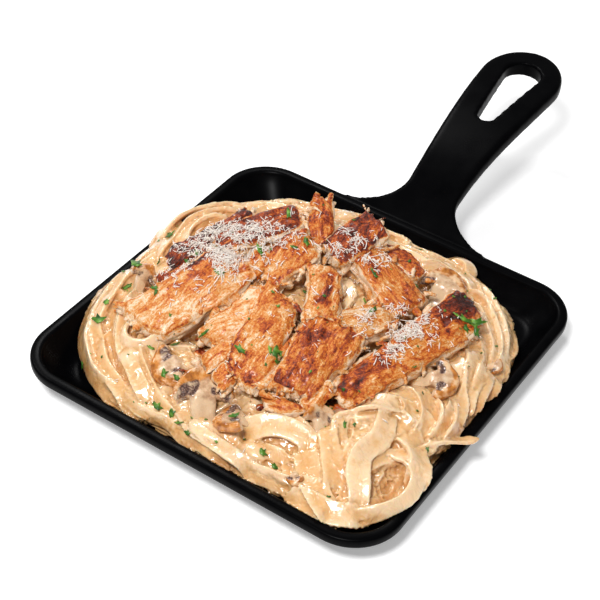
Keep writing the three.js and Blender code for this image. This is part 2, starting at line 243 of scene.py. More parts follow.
class Graph:
    """A material's node graph, with short calls for the nodes used here."""

    def __init__(self, name):
        self.material = bpy.data.materials.new(name)
        self.material.use_nodes = True
        self.nodes = self.material.node_tree.nodes
        self.links = self.material.node_tree.links
        self.nodes.clear()
        self.shader = self.nodes.new("ShaderNodeBsdfPrincipled")
        out = self.nodes.new("ShaderNodeOutputMaterial")
        self.links.new(self.shader.outputs[0], out.inputs[0])
        self.place = self.nodes.new("ShaderNodeTexCoord").outputs["Object"]

    def put(self, socket, value):
        if isinstance(value, bpy.types.NodeSocket):
            self.links.new(value, socket)
        elif value is not None:
            socket.default_value = value

    def attribute(self, name):
        node = self.nodes.new("ShaderNodeAttribute")
        node.attribute_name = name
        return node.outputs["Fac"]

    def stretched(self, name, factors):
        """A vector attribute as texture space, scaled along its axes."""
        source = self.nodes.new("ShaderNodeAttribute")
        source.attribute_name = name
        node = self.nodes.new("ShaderNodeMapping")
        self.put(node.inputs[0], source.outputs["Vector"])
        node.inputs["Scale"].default_value = factors
        return node.outputs[0]

    def noise(self, size_mm, detail=3.0, roughness=0.5, distortion=0.0, place=None):
        node = self.nodes.new("ShaderNodeTexNoise")
        self.put(node.inputs["Vector"], place or self.place)
        node.inputs["Scale"].default_value = 1 / (size_mm * MM)
        node.inputs["Detail"].default_value = detail
        node.inputs["Roughness"].default_value = roughness
        node.inputs["Distortion"].default_value = distortion
        return node.outputs["Fac"]

    def ramp(self, value, stops):
        node = self.nodes.new("ShaderNodeValToRGB")
        self.put(node.inputs[0], value)
        while len(node.color_ramp.elements) < len(stops):
            node.color_ramp.elements.new(0.5)
        for element, (at, tone) in zip(node.color_ramp.elements, stops):
            element.position = at
            element.color = tone if isinstance(tone, tuple) else (tone, tone, tone, 1)
        return node.outputs[0]

    def math(self, operation, first, second=None, third=None):
        node = self.nodes.new("ShaderNodeMath")
        node.operation = operation
        for socket, value in zip(node.inputs, (first, second, third)):
            self.put(socket, value)
        return node.outputs[0]

    def mix(self, share, first, second, blend="MIX"):
        node = self.nodes.new("ShaderNodeMix")
        node.data_type = "RGBA"
        node.blend_type = blend
        self.put(node.inputs[0], share)
        self.put(node.inputs[6], first)
        self.put(node.inputs[7], second)
        return node.outputs[2]

    def bump(self, height, strength, depth_mm, below=None):
        node = self.nodes.new("ShaderNodeBump")
        self.put(node.inputs["Height"], height)
        node.inputs["Strength"].default_value = strength
        node.inputs["Distance"].default_value = depth_mm * MM
        if below is not None:
            self.put(node.inputs["Normal"], below)
        return node.outputs[0]

    def set(self, **values):
        for name, value in values.items():
            self.put(self.shader.inputs[name.replace("_", " ")], value)

    def gloss(self, size_mm, detail, smooth, rough):
        """Roughness that wanders between two values."""
        self.set(Roughness=self.ramp(self.noise(size_mm, detail), [(0.3, smooth), (0.7, rough)]))

    def flesh(self, weight, radius_mm):
        """Light that sinks in and comes out again."""
        self.shader.inputs["Subsurface Weight"].default_value = weight
        self.shader.inputs["Subsurface Radius"].default_value = tuple(r * MM for r in radius_mm)
        self.shader.inputs["Subsurface Scale"].default_value = 1.0


def noodle_material():
    g = Graph("creamy_pasta")
    shade, rim, tone, painted_crevice_shade = (g.attribute(name) for name in ("shade", "rim", "tone", "painted_crevice_shade"))
    depth = g.math("MULTIPLY_ADD", g.noise(6, 4, 0.6), 0.9, g.math("MULTIPLY_ADD", tone, 0.4, -0.65))
    # Painted light and shade: parts standing above the heap's broad level come out paler, lower parts darker.
    depth = g.math("ADD", depth, g.attribute("painted_height_shade"))
    base = g.ramp(depth, [
        (0.05, colour(184, 126, 70)),
        (0.25, colour(217, 160, 98)),
        (0.45, colour(227, 176, 116)),
        (0.65, colour(232, 187, 133)),
        (0.95, colour(242, 208, 166)),
    ])
    curds = g.math("MULTIPLY", g.ramp(g.noise(1.6, 4, 0.6), [(0.55, 0.0), (0.8, 1.0)]), 0.3)
    base = g.mix(curds, base, colour(240, 216, 182))
    amber = g.ramp(g.noise(5, 3), [(0.58, 0.0), (0.78, 1.0)])
    base = g.mix(g.math("MULTIPLY", amber, 0.5), base, colour(222, 158, 86))
    # Painted highlight along the top edges of the ribbons.
    base = g.mix(g.math("MULTIPLY", rim, 0.3), base, colour(252, 230, 196))
    # Painted shade in sunken spots and along ribbon borders.
    base = g.mix(g.math("MULTIPLY", painted_crevice_shade, 0.55), base, colour(184, 128, 72))
    # Painted shade: dark brown where the shade attribute is set, between and under the slices and in hollows.
    g.set(Base_Color=g.mix(shade, base, colour(96, 54, 28)))
    g.gloss(5, 3, 0.14, 0.32)
    g.set(Coat_Weight=1.0, Coat_Roughness=0.06)
    g.flesh(0.4, (2.4, 1.3, 0.6))
    lumps = g.bump(g.noise(4.2, 2, 0.5, 0.8), 0.8, 1.0)
    g.set(Normal=g.bump(g.noise(1.4, 2, 0.5), 0.3, 0.15, lumps))
    return g.material


def chicken_material():
    g = Graph("seared_chicken")
    sear = g.attribute("sear")
    fibres = g.noise(0.8, 4, 0.7, 0.4, g.stretched("grain", (0.16, 1, 1)))
    streaks = g.noise(4, 5, 0.72, 0.8, g.stretched("grain", (0.5, 1, 1)))
    freckles = g.noise(0.9, 4, 0.75)
    level = g.math("ADD", sear, g.math("MULTIPLY_ADD", streaks, 1.8, -0.9))
    level = g.math("ADD", level, g.math("MULTIPLY_ADD", freckles, 1.1, -0.55))
    level = g.math("ADD", level, g.math("MULTIPLY_ADD", fibres, 0.7, -0.35))
    base = g.ramp(level, [
        (0.0, colour(244, 216, 184)),
        (0.18, colour(224, 168, 106)),
        (0.36, colour(216, 130, 44)),
        (0.54, colour(190, 84, 22)),
        (0.72, colour(128, 42, 12)),
        (0.98, colour(46, 15, 8)),
    ])
    specks = g.ramp(g.noise(1.5, 3, 0.8, 0.5), [(0.6, 0.0), (0.68, 1.0)])
    specks = g.math("MULTIPLY", specks, g.ramp(sear, [(0.15, 0.0), (0.4, 0.75)]))
    g.set(Base_Color=g.mix(specks, base, colour(110, 34, 10)))
    g.gloss(2, 3, 0.3, 0.6)
    g.set(Coat_Weight=0.15, Coat_Roughness=0.15, Specular_IOR_Level=0.35)
    g.flesh(0.1, (1.5, 0.6, 0.3))
    strands = g.bump(fibres, 1.0, 0.55)
    g.set(Normal=g.bump(freckles, 0.5, 0.2, strands))
    return g.material


def mushroom_material():
    g = Graph("cooked_mushroom")
    uneven = g.math("MULTIPLY_ADD", g.noise(1.8, 4, 0.65), 0.9, -0.45)
    flesh = g.ramp(g.noise(3.5, 4, 0.6), [
        (0.3, colour(166, 124, 90)),
        (0.5, colour(204, 166, 130)),
        (0.7, colour(226, 198, 166)),
    ])
    amber = g.ramp(g.noise(3, 3), [
        (0.3, colour(138, 74, 24)),
        (0.55, colour(204, 130, 52)),
        (0.8, colour(228, 176, 112)),
    ])
    dark = g.ramp(g.noise(0.7, 3, 0.6, 0.5), [
        (0.35, colour(52, 32, 28)),
        (0.55, colour(112, 80, 68)),
        (0.7, colour(190, 160, 142)),
    ])
    sauce = g.ramp(g.math("ADD", g.noise(6, 3, 0.6), g.attribute("cover")), [(0.52, 0.0), (0.64, 1.0)])
    skin = g.ramp(g.math("ADD", g.attribute("skin"), uneven), [(0.15, 0.0), (0.6, 1.0)])
    gills = g.ramp(g.math("ADD", g.attribute("gill"), uneven), [(0.4, 0.0), (0.75, 1.0)])
    base = g.mix(gills, g.mix(skin, flesh, amber), dark)
    g.set(Base_Color=g.mix(g.math("MULTIPLY", sauce, 0.7), base, colour(232, 202, 164)))
    g.gloss(3, 2, 0.16, 0.34)
    g.set(Coat_Weight=0.5, Coat_Roughness=0.1)
    g.flesh(0.2, (1.8, 0.9, 0.5))
    g.set(Normal=g.bump(g.noise(1.5, 3, 0.6), 0.5, 0.3))
    return g.material


def pan_material():
    g = Graph("black_melamine")
    g.set(Base_Color=g.ramp(g.noise(9, 3), [(0.3, colour(2, 2, 3)), (0.7, colour(5, 5, 6))]))
    g.gloss(20, 3, 0.26, 0.36)
    g.set(Specular_IOR_Level=0.03)
    g.set(Normal=g.bump(g.noise(0.9, 3, 0.6), 0.1, 0.06))
    return g.material


def cheese_material():
    g = Graph("grated_parmesan")
    g.set(Base_Color=g.ramp(g.noise(3, 2), [(0.3, colour(248, 234, 220)), (0.7, colour(255, 248, 240))]))
    g.gloss(2, 2, 0.4, 0.6)
    g.flesh(0.1, (0.5, 0.4, 0.3))
    g.set(Normal=g.bump(g.noise(0.5, 2), 0.3, 0.05))
    return g.material


def herb_material():
    g = Graph("chopped_parsley")
    g.set(Base_Color=g.ramp(g.noise(3, 3), [
        (0.3, colour(30, 74, 14)),
        (0.5, colour(66, 116, 24)),
        (0.7, colour(124, 168, 60)),
    ]))
    g.gloss(2, 2, 0.3, 0.5)
    g.flesh(0.15, (0.6, 0.8, 0.2))
    g.set(Normal=g.bump(g.noise(0.7, 3), 0.5, 0.1))
    return g.material


PASTA = noodle_material()
MEAT = chicken_material()
MUSHROOM = mushroom_material()
BLACK = pan_material()
CHEESE = cheese_material()
HERB = herb_material()


# ---- Pan ----

PAN_HALF = 90
PAN_TOP = 16
CORNER = 22.4
FLOOR = 3.6  # thickness
HANDLE_END = 211
HANDLE_THICK = 7.6


def rounded_square(half, radius, per_corner=16, per_side=8):
    """Points round a square with round corners, the same number whatever its size."""
    straight = half - radius
    ring = []
    for quarter in range(4):
        turn = math.pi / 2 * quarter
        spin = np.array([[math.cos(turn), -math.sin(turn)], [math.sin(turn), math.cos(turn)]])
        for k in range(per_corner + 1):
            a = math.pi / 2 * k / per_corner
            ring.append(spin @ np.array([straight + radius * math.cos(a), straight + radius * math.sin(a)]))
        for k in range(1, per_side):
            ring.append(spin @ np.array([straight - 2 * straight * k / per_side, half]))
    return np.array(ring)


def corner_cut(line, times):
    """Chaikin's rounding of an open line, ends kept."""
    for _ in range(times):
        a, b = line[:-1], line[1:]
        cuts = np.stack([a * 0.75 + b * 0.25, a * 0.25 + b * 0.75], 1).reshape(-1, 2)
        line = np.vstack([line[:1], cuts, line[-1:]])
    return line


def pan_body():
    # Inset from the rim and height, from the middle of the underside round to the middle of the floor.
    section = np.array([
        [60, 0], [17.5, 0], [15.8, 0.5], [1.7, 10.2], [0.3, 11.5], [0, 12.4], [0, 15.2], [0.9, 16], [3.6, 16],
        [4.8, 15.5], [5.6, 13.9], [11.9, 6.3], [13.9, 4.3], [17.5, FLOOR], [60, FLOOR],
    ])
    section = corner_cut(section, 2)
    points = []
    for inset, z in section:
        half = PAN_HALF - inset
        ring = rounded_square(half, max(CORNER - inset, 0.18 * half))
        points.append(np.column_stack([ring, np.full(len(ring), z)]))
    return mesh_object("pan_body", np.vstack(points), tube_faces(len(points), len(points[0])))


def handle_top(y):
    return PAN_TOP - 0.15 + 34.2 * (1 - math.exp(-max(y - PAN_HALF, 0) / 42.8))


def handle_half(y):
    neck, wide = 108, 188
    if y < neck:
        t = (neck - max(y, PAN_HALF)) / (neck - PAN_HALF)
        return 13.7 + (45 - 13.7) * (1 - math.sqrt(1 - t * t))
    t = min((y - neck) / (wide - neck), 1)
    half = 13.7 + (20.4 - 13.7) * (t + t * t * (3 - 2 * t)) / 2
    return half * math.sqrt(max(1 - max((y - wide) / (HANDLE_END - wide), 0) ** 2, 0.0))


def handle_bar():
    edge, across = 2.4, 16
    tip = HANDLE_END - 16 * np.linspace(1, 0.02, 30) ** 2
    stations = np.concatenate([np.linspace(86.5, 112, 40), np.linspace(113, 195, 60), tip])
    points = []
    for y in stations:
        half = max(handle_half(y), 0.6)
        for k in range(2 * across):
            a = 2 * math.pi * (k + 0.5) / (2 * across)
            u = math.copysign(abs(math.cos(a)) ** 0.25, math.cos(a))
            v = math.copysign(abs(math.sin(a)) ** 0.5, math.sin(a))
            if half > 3 * edge:
                u = math.copysign(1 - (1 - abs(u)) * edge * 3 / half, u)
            points.append([u * half, y, handle_top(y) + (v - 1) * HANDLE_THICK / 2])
    faces = [face[::-1] for face in tube_faces(len(stations), 2 * across)]
    return mesh_object("pan_handle", points, faces)


def slot_cutter():
    """The keyhole slot, from two arcs, each a place, radius, start, stop and count of points."""
    past = 0.1
    outline = []
    for y, radius, start, stop, count in (
        (190.8, 9.2, -past, math.pi + past, 24),
        (155.6, 4.6, math.pi + past, 2 * math.pi - past, 16),
    ):
        outline += [(radius * math.cos(a), y + radius * math.sin(a)) for a in np.linspace(start, stop, count)]
    points = [(x, y, z) for z in (10, 70) for x, y in outline]
    return mesh_object("slot_cutter", points, tube_faces(2, len(outline)))


def make_pan():
    body = pan_body()
    bar = handle_bar()
    cutter = slot_cutter()
    cut = bar.modifiers.new("slot", "BOOLEAN")
    cut.object = cutter
    cut.solver = "EXACT"
    applied(bar)
    bpy.data.objects.remove(cutter)
    remeshed(bar, 0.8, 6)
    finish_piece(body, BLACK, "pan", "pan")
    finish_piece(bar, BLACK, "pan")


# ---- Height fields of the heap, what lies on it and the pan under it ----

REACH = 94
CELLS = 2 * REACH + 1
AXIS = np.arange(-REACH, REACH + 1)
OPEN_ABOVE = 200.0


def cell(x, y):
    return (np.clip(np.rint(np.asarray(y)).astype(int) + REACH, 0, CELLS - 1),
            np.clip(np.rint(np.asarray(x)).astype(int) + REACH, 0, CELLS - 1))


def field_from(trees, downwards, missing):
    made = np.full((CELLS, CELLS), missing, float)
    for j, y in enumerate(AXIS):
        for i, x in enumerate(AXIS):
            hit = cast(trees, x, y, 100 if downwards else -10, downwards)
            if hit is not None:
                made[j, i] = hit[0][2]
    return made


def neighbours(values):
    """The fields of each cell's four neighbours, edges held."""
    padded = np.pad(values, 1, mode="edge")
    return [padded[:-2, 1:-1], padded[2:, 1:-1], padded[1:-1, :-2], padded[1:-1, 2:]]


def blur(values, times):
    for _ in range(times):
        values = (sum(neighbours(values)) + 2 * values) / 6
    return values


def spread(values, times, largest=True):
    """Each cell takes the largest, or smallest, value next to it."""
    pick = np.maximum if largest else np.minimum
    for _ in range(times):
        values = pick.reduce(neighbours(values) + [values])
    return values


HEAP_RAW = field_from(finder(NODES["noodles"]), True, -1)
CEILING = field_from(finder(*[NODES[n] for n in CHICKEN + MUSHROOMS]), False, OPEN_ABOVE)
PAN_INSIDE = field_from(finder(NODES["pan"]), True, 0)
INSIDE = HEAP_RAW > 0
SURFACE = HEAP_RAW
for _ in range(10):  # carried on outwards at its edge's height
    SURFACE = np.where(SURFACE > 0, SURFACE, spread(SURFACE, 1))
SURFACE = blur(SURFACE, 5)
CORE = INSIDE & (spread(np.where(INSIDE, 1.0, 0.0), 3, largest=False) > 0.5)
COVERED = CEILING < OPEN_ABOVE
# Between the pieces on top the heap lies deeper, and painted shade tints it dark brown there.
BETWEEN = spread(spread(np.where(COVERED, 1.0, 0.0), 5), 6, largest=False)
GAPS = blur(np.where(COVERED, 0.0, BETWEEN), 2)
AXIS_X, AXIS_Y = np.meshgrid(AXIS, AXIS)
BEHIND = smoothstep(-56, -38, AXIS_Y)
# Painted shade: how strongly the noodles are tinted dark brown between and under the slices and mushrooms,
# more towards the back.
SHADE = (0.35 + 0.45 * BEHIND) * blur(np.maximum(BETWEEN, np.where(COVERED, 1.0, 0.0)), 2)
CARRIER = SURFACE  # the heap's top before it is lowered around and under the slices
# Where the heap comes back up to carry the slices: under them, but not beside the gaps between them.
CARRIES = blur(np.where(COVERED & (spread(GAPS, 2) < 0.2), 1.0, 0.0), 1)
SURFACE = SURFACE - 7 * blur(BETWEEN, 3) * BEHIND

# Hollows where ribbons arch over each other, each dented and given painted shade: middle, reach and depth.
HOLLOWS = [
    ((78, -55), 4.5, 9), ((81, -61), 3, 6), ((54, -47), 4.5, 5), ((61, -66), 3, 4), ((81, -11), 2.5, 4),
    ((-8, -72), 3, 5), ((-2, -75), 3, 5), ((40, -79), 3, 6), ((18, -72), 3, 4), ((-52, -55), 4, 4),
    ((28, -82), 3, 7), ((-62, -60), 3, 4), ((76, 24), 3, 4), ((47, -70), 2.5, 3),
]
for (x, y), reach, depth in HOLLOWS:
    dent = np.exp(-((AXIS_X - x) ** 2 + (AXIS_Y - y) ** 2) / reach ** 2)
    SURFACE = SURFACE - depth * dent
    SHADE = np.maximum(SHADE, 0.35 * dent)
RIBBON_ROOM = 5.5  # depth of heap that is left to the ribbons
height = np.where(CORE, np.minimum(SURFACE - RIBBON_ROOM, CEILING - 3), PAN_INSIDE)

make_pan()


# ---- Noodles ----

class Strands:
    """Collects flat ribbons into one mesh."""

    SECTION = np.array([
        (1, 0), (0.86, 0.8), (0.3, 1), (-0.3, 1), (-0.86, 0.8),
        (-1, 0), (-0.86, -0.8), (-0.3, -1), (0.3, -1), (0.86, -0.8),
    ])

    def __init__(self):
        self.points, self.faces, self.count = [], [], 0
        self.middles, self.sides, self.tones = [], [], []

    def add(self, route, bank, width, thick, curl):
        """A ribbon along a route of 3D points; bank leans it to its side, curl lifts its edges."""
        route = np.asarray(route)
        along = np.gradient(route, axis=0)
        along /= np.linalg.norm(along, axis=1, keepdims=True) + 1e-9
        level = np.cross(along, [0, 0, 1.0])
        level /= np.linalg.norm(level, axis=1, keepdims=True) + 1e-9
        above = np.cross(level, along)
        lean = np.asarray(bank)[:, None]
        side = level * np.cos(lean) + above * np.sin(lean)
        out = above * np.cos(lean) - level * np.sin(lean)
        share = np.linspace(0, 1, len(route))
        taper = np.clip(np.minimum(share, 1 - share) * len(route) * 0.3 + 0.3, 0, 1)
        half = width / 2 * taper * (1 + 0.2 * noise(route, 13, 5))
        route = route + side * (0.9 * noise(route, 15, 6))[:, None]
        rings = []
        for u, v in self.SECTION:
            cup = curl + 0.9 * noise(route, 18, 7) + 0.7 * u * noise(route, 11, 8)
            lift = v * thick / 2 + cup * (u * u - 0.4) * width * 0.1
            rings.append(route + side * (u * half)[:, None] + out * lift[:, None])
        ribbon = np.stack(rings, axis=1)
        ring = len(self.SECTION)
        self.faces += tube_faces(len(route), ring, self.count)
        self.points.append(ribbon.reshape(-1, 3))
        self.count += ribbon.shape[0] * ring
        self.middles.append(np.repeat(route, ring, axis=0))
        self.sides.append(np.repeat(side / half[:, None], ring, axis=0))
        self.tones.append(np.full(len(route) * ring, rng.random()))

    def owners(self, points):
        """For each point: how far across its nearest ribbon it lies, the ribbon's tone, and its distance."""
        cloud, middles = np.vstack(self.points), np.vstack(self.middles)
        sides, tones = np.vstack(self.sides), np.concatenate(self.tones)
        tree = KDTree(len(cloud))
        for k, place in enumerate(cloud):
            tree.insert(place, k)
        tree.balance()
        found = [tree.find(p) for p in points]
        nearest = np.array([k for _, k, _ in found])
        across = np.einsum("ij,ij->i", points - middles[nearest], sides[nearest])
        return across, tones[nearest], np.array([d for _, _, d in found])


STEP = 2.0
strands = Strands()


def stamp(route, side, bank, width, thick):
    """Raises the height field under a ribbon to the ribbon's top."""
    for offset in np.arange(-0.5, 0.51, 0.1) * width:
        for shift in (0, 0.5):
            x = route[:, 0] + side[:, 0] * offset * np.cos(bank)
            y = route[:, 1] + side[:, 1] * offset * np.cos(bank)
            x = x + shift * np.gradient(route[:, 0])
            y = y + shift * np.gradient(route[:, 1])
            z = route[:, 2] + offset * np.sin(bank) + thick / 2
            np.maximum.at(height, cell(x, y), z)


def side_of(plan):
    """The direction to the side of a plan route, at each point."""
    along = np.gradient(plan, axis=0)
    along /= np.linalg.norm(along, axis=1, keepdims=True)
    return np.column_stack([along[:, 1], -along[:, 0]])


def across_route(field, plan, side, offsets):
    """Rows of a field's values along a plan route, one for each offset to its side."""
    return np.array([field[cell(*(plan + side * offset).T)] for offset in offsets])


def lay(plan, width, thick, cap, curl, lean):
    """Drapes a ribbon along a plan route over what is already there."""
    plan = smooth_route(plan, STEP)
    side = side_of(plan)
    offsets = np.array([-0.45, -0.25, 0, 0.25, 0.45]) * width
    under = across_route(height, plan, side, offsets)
    slope = ((under[4] + under[3]) - (under[0] + under[1])) / (1.4 * width)
    slope = blur_line(np.clip(slope, -1.1, 1.1), 6)
    rest = under - offsets[:, None] * slope
    z = rest.mean(0) + 0.8 * (rest.max(0) - rest.mean(0))
    z = np.minimum(z, SURFACE[cell(plan[:, 0], plan[:, 1])] + cap)
    for _ in range(8):
        z = np.maximum(blur_line(z, 1), z - 0.25)
    z = blur_line(z, 3) + thick / 2
    room = across_route(CEILING, plan, side, offsets).min(0)
    z = blur_line(np.minimum(z, room - thick / 2 - 0.4), 2)
    route = np.column_stack([plan, z])
    wave = lean + 0.26 * noise(route, 24, 9)
    bank = blur_line(np.arctan(slope) + wave, 2)
    strands.add(route, bank, width, thick, curl)
    stamp(route, side, bank, width, thick)


def place_free(points, width, thick, lean, curl=0.3):
    """A ribbon whose height is given, such as a loop that stands on edge."""
    route = smooth_route(points, STEP * 0.8)
    lean = np.interp(np.linspace(0, 1, len(route)), np.linspace(0, 1, len(lean)), lean)
    strands.add(route, np.radians(lean), width, thick, curl)


def edge_radius(angle):
    """How far the heap reaches from the middle in a direction."""
    reach = np.arange(40, 92, 0.5)
    inside = INSIDE[cell(reach * math.cos(angle), reach * math.sin(angle))]
    return reach[inside].max() if inside.any() else 60


def wall_ribbons():
    """Ribbons that lie round the heap's flanks, leaning outwards."""
    round_turn = 2 * math.pi
    angles = np.linspace(0, round_turn, 240, endpoint=False)
    reach = blur_line(np.array([edge_radius(a) for a in angles]), 2)
    for start in np.arange(0, round_turn, 0.33):
        for level in (6.5, 10.5, 14.5):
            span = rng.uniform(0.4, 0.9)
            begin = start + rng.uniform(-0.15, 0.15)
            route = []
            for t in np.linspace(0, 1, 9):
                angle = begin + span * t
                x, y = math.cos(angle), math.sin(angle)
                out = np.interp(angle % round_turn, angles, reach)
                brim = SURFACE[cell(x * (out - 5), y * (out - 5))]
                z = min(level + 3 * math.sin(2.6 * t + 3 * start), brim - 1)
                wall = 76 + 0.87 * (z - 4.4) - 1.6  # the pan's sloping wall, less the ribbon
                out += rng.uniform(-1.2, 1.2) - 2.4 - 0.22 * max(brim - z, 0)
                out = min(out, wall / max(abs(x), abs(y)))
                route.append((x * out, y * out, z))
            route = smooth_route(route, STEP)
            lean = 1.0 if level < 8 else -0.9
            strands.add(route, lean + 0.5 * noise(route, 20, 3), rng.uniform(6.5, 8.5), 2.0, 0.6)


def round_the_heap(x, y):
    """The direction round the heap at a place, along rings that are squarer towards the rim."""
    return math.atan2(x * abs(x) + 20 * x, -(y * abs(y) + 20 * y))


def fill_ribbons(count):
    """Ribbons that run round the heap, more or less, each begun where it is still lowest."""
    for _ in range(count):
        short = np.where(CORE, SURFACE - height, 0)
        short = np.maximum(short - 2, 0) ** 2
        if short.sum() < 1:
            break
        pick = rng.choice(CELLS * CELLS, p=(short / short.sum()).ravel())
        x, y = AXIS[pick % CELLS], AXIS[pick // CELLS]
        way = rng.choice([0, math.pi])
        drift = rng.normal(0, 0.45)
        turn = rng.uniform(-0.12, 0.12)
        route = [(x, y)]
        for k in range(rng.integers(5, 11)):
            heading = round_the_heap(x, y) + way + drift + turn * k + 0.35 * math.sin(1.3 * k + 9 * turn)
            x, y = x + 8 * math.cos(heading), y + 8 * math.sin(heading)
            limit = edge_radius(math.atan2(y, x)) - 3
            far = math.hypot(x, y)
            if far > limit:
                x, y, drift = x * limit / far, y * limit / far, 0
            route.append((x, y))
        width, cap, curl = rng.uniform(6, 8.5), rng.uniform(-4.6, -0.4), rng.uniform(0.3, 1.3)
        lay(route, width, 2.0, cap, curl, rng.normal(0, 0.3))


def drape(plan, width, lift, lean, thick=2.2, curl=1.0):
    """A ribbon along the heap's own surface, its outer side dropped by lean and its ends tucked in."""
    plan = smooth_route(plan, STEP)
    flat = np.column_stack([plan, np.full(len(plan), width)])
    plan = plan + 1.5 * np.column_stack([noise(flat, 21, 45), noise(flat, 21, 46)])
    side = side_of(plan)
    share = np.linspace(0, 1, len(plan))
    rows = across_route(SOFT, plan, side, (-width / 3, 0, width / 3))
    slope = blur_line(np.clip((rows[2] - rows[0]) / (width * 2 / 3), -1.2, 1.2), 4)
    tuck = smoothstep(0.16, 0, share) + smoothstep(0.84, 1, share)
    z = blur_line(np.mean(rows, axis=0), 4) + lift * (1 - tuck) - 4 * tuck
    z += 1.6 * noise(np.column_stack([plan, z]), 22, 41)
    room = CEILING[cell(plan[:, 0], plan[:, 1])] - thick
    z = blur_line(np.minimum(z, room), 2)
    outer = blur_line(np.sign(np.einsum("ij,ij->i", side, plan)), 6)
    route = np.column_stack([plan, z])
    bank = np.arctan(slope) - outer * math.radians(lean) + 0.3 * noise(route, 20, 43)
    strands.add(route, bank, width, thick, curl)
    stamp(route, side, bank, width, thick)


# Ribbons that stand out: plan route, width, lift above the heap's surface, outward lean in degrees.
RIBBONS = [
    # far side and left shoulder
    ([(14, 66), (24, 72), (35, 74), (46, 71), (56, 63)], 10, 0.5, 25),
    ([(20, 58), (30, 66), (42, 67), (52, 60)], 10, 1.5, 10),
    ([(-46, 60), (-36, 68), (-24, 72), (-12, 72), (0, 66)], 10, 0.5, 20),
    ([(-84, -2), (-86, 14), (-84, 30), (-76, 44), (-64, 54)], 10, 1, 35),
    ([(-76, -12), (-79, 4), (-79, 18), (-73, 33), (-62, 43)], 11, 2, 15),
    ([(-70, 0), (-73, 12), (-71, 22), (-64, 32)], 9, 3, 5),
    # right flank
    ([(38, 70), (50, 69), (60, 63), (70, 54), (78, 43), (82, 32)], 9, 0, 45),
    ([(42, 62), (54, 61), (64, 54), (73, 45), (80, 33), (83, 20)], 9, 0.8, 35),
    ([(48, 54), (58, 52), (68, 43), (76, 33), (81, 21), (84, 8)], 9, 1.2, 25),
    ([(54, 44), (63, 40), (71, 31), (77, 20), (81, 8), (83, -4)], 9, 1.6, 20),
    ([(62, 30), (69, 23), (75, 13), (79, 2), (82, -9)], 10, 1.8, 14),
    ([(62, 16), (69, 9), (75, 1), (80, -9), (82, -20)], 10, 2.4, 10),
    # left flank
    ([(-84, -22), (-81, -42), (-75, -57), (-64, -69), (-50, -78), (-34, -83)], 11, -0.5, 50),
    ([(-80, -12), (-78, -32), (-74, -50), (-65, -61), (-54, -71), (-42, -78), (-26, -83)], 8, 2.2, 15),
    ([(-72, -14), (-70, -32), (-67, -46), (-60, -57), (-49, -67), (-38, -75), (-24, -80)], 9, 0.2, 40),
    ([(-62, -34), (-60, -48), (-54, -57), (-44, -66), (-33, -73), (-20, -78)], 8, 3.4, -10),
    ([(-50, -44), (-48, -56), (-40, -64), (-30, -71), (-18, -76), (-4, -79)], 9, 1.0, 25),
    # near side
    ([(-20, -62), (-15, -70), (-5, -77), (8, -80), (22, -81), (34, -80)], 7, 2.8, 10),
    ([(-28, -66), (-20, -73), (-8, -79), (6, -82), (20, -83)], 7, 0.6, 35),
    ([(2, -70), (14, -76), (26, -79), (38, -80)], 8, 0.8, 15),
    ([(14, -73), (22, -67), (32, -62), (42, -61), (48, -67)], 10, 1.6, 0),
    ([(22, -82), (34, -80), (46, -78), (57, -75), (66, -74)], 10, 0.8, 20),
    ([(40, -60), (45, -66), (52, -73), (60, -78), (70, -81)], 11, 1.8, 5),
    ([(46, -82), (57, -80), (68, -79), (78, -74)], 10, 0.5, 25),
    # near right corner
    ([(82, -48), (82, -60), (77, -68), (70, -74), (60, -78)], 9, -0.5, 10),
    ([(44, -46), (48, -55), (55, -63), (60, -70), (62, -76)], 9, 2.2, 0),
    ([(50, -42), (53, -51), (58, -59), (63, -67), (66, -74)], 8, 0.4, 0),
    ([(52, -6), (60, -2), (70, -1), (79, -6), (84, -16), (83, -28)], 8, 0.8, 45),
    ([(50, -10), (60, -7), (69, -7), (76, -12), (80, -21), (79, -32)], 9, 1.8, 25),
    ([(48, -15), (58, -12), (66, -14), (72, -20), (75, -30), (73, -38)], 10, 2.6, 12),
    ([(48, -20), (56, -19), (63, -21), (67, -26), (69, -33)], 10, 3.2, 5),
    ([(46, -40), (50, -50), (56, -58), (62, -64), (66, -70)], 8, 1.2, 0),
    ([(52, -34), (56, -44), (59, -52), (61, -62)], 8, 1.6, 10),
    ([(72, -36), (76, -44), (78, -52), (78, -60), (74, -68)], 7, -1.5, 20),
    ([(38, -46), (44, -43), (51, -36), (58, -28), (66, -24), (74, -25), (79, -32)], 10, 3.2, 0),
    ([(58, -30), (68, -33), (77, -38), (83, -45), (84, -54)], 12, 2.6, 18),
    ([(57, -25), (61, -33), (64, -43), (63, -53), (66, -62), (71, -70), (74, -78)], 9, 2.8, 8),
]

# Ribbons that stand clear of the surface: route with heights, width, and leans along it in degrees.
LOOPS = [
    ([(-52, -46, 27), (-56, -52, 26), (-53, -59, 25), (-46, -61, 25), (-40, -57, 26), (-38, -50, 28)], 9,
     (-40, -60, -70, -60, -50)),
    ([(70, -46, 22), (77, -44, 22), (84, -48, 20), (86, -57, 19), (83, -66, 18), (76, -73, 16),
      (68, -77, 14)], 8, (10, 30, 50, 60, 45)),
    ([(76, -34, 20), (82, -26, 20), (88, -19, 18), (93, -13, 17.5)], 5.5, (10, 25, 20, 0)),
    ([(26, 70, 15), (30, 76, 19), (37, 76, 20), (42, 70, 17)], 8, (20, 35, 35, 20)),
]
# Thick blobs of sauce: place and size.
BLOBS = [
    ((-23, -70, 21), (5, 4, 3)), ((-42, -64, 22), (8, 7, 4)), ((-31, -75, 18), (9, 5, 3.5)),
    ((25, -74, 19), (7, 5, 3)), ((-22, 66, 20), (9, 7, 7)), ((4, -77, 20), (9, 5, 3)),
    ((-34, -67, 22), (7, 6, 2.5)),
]


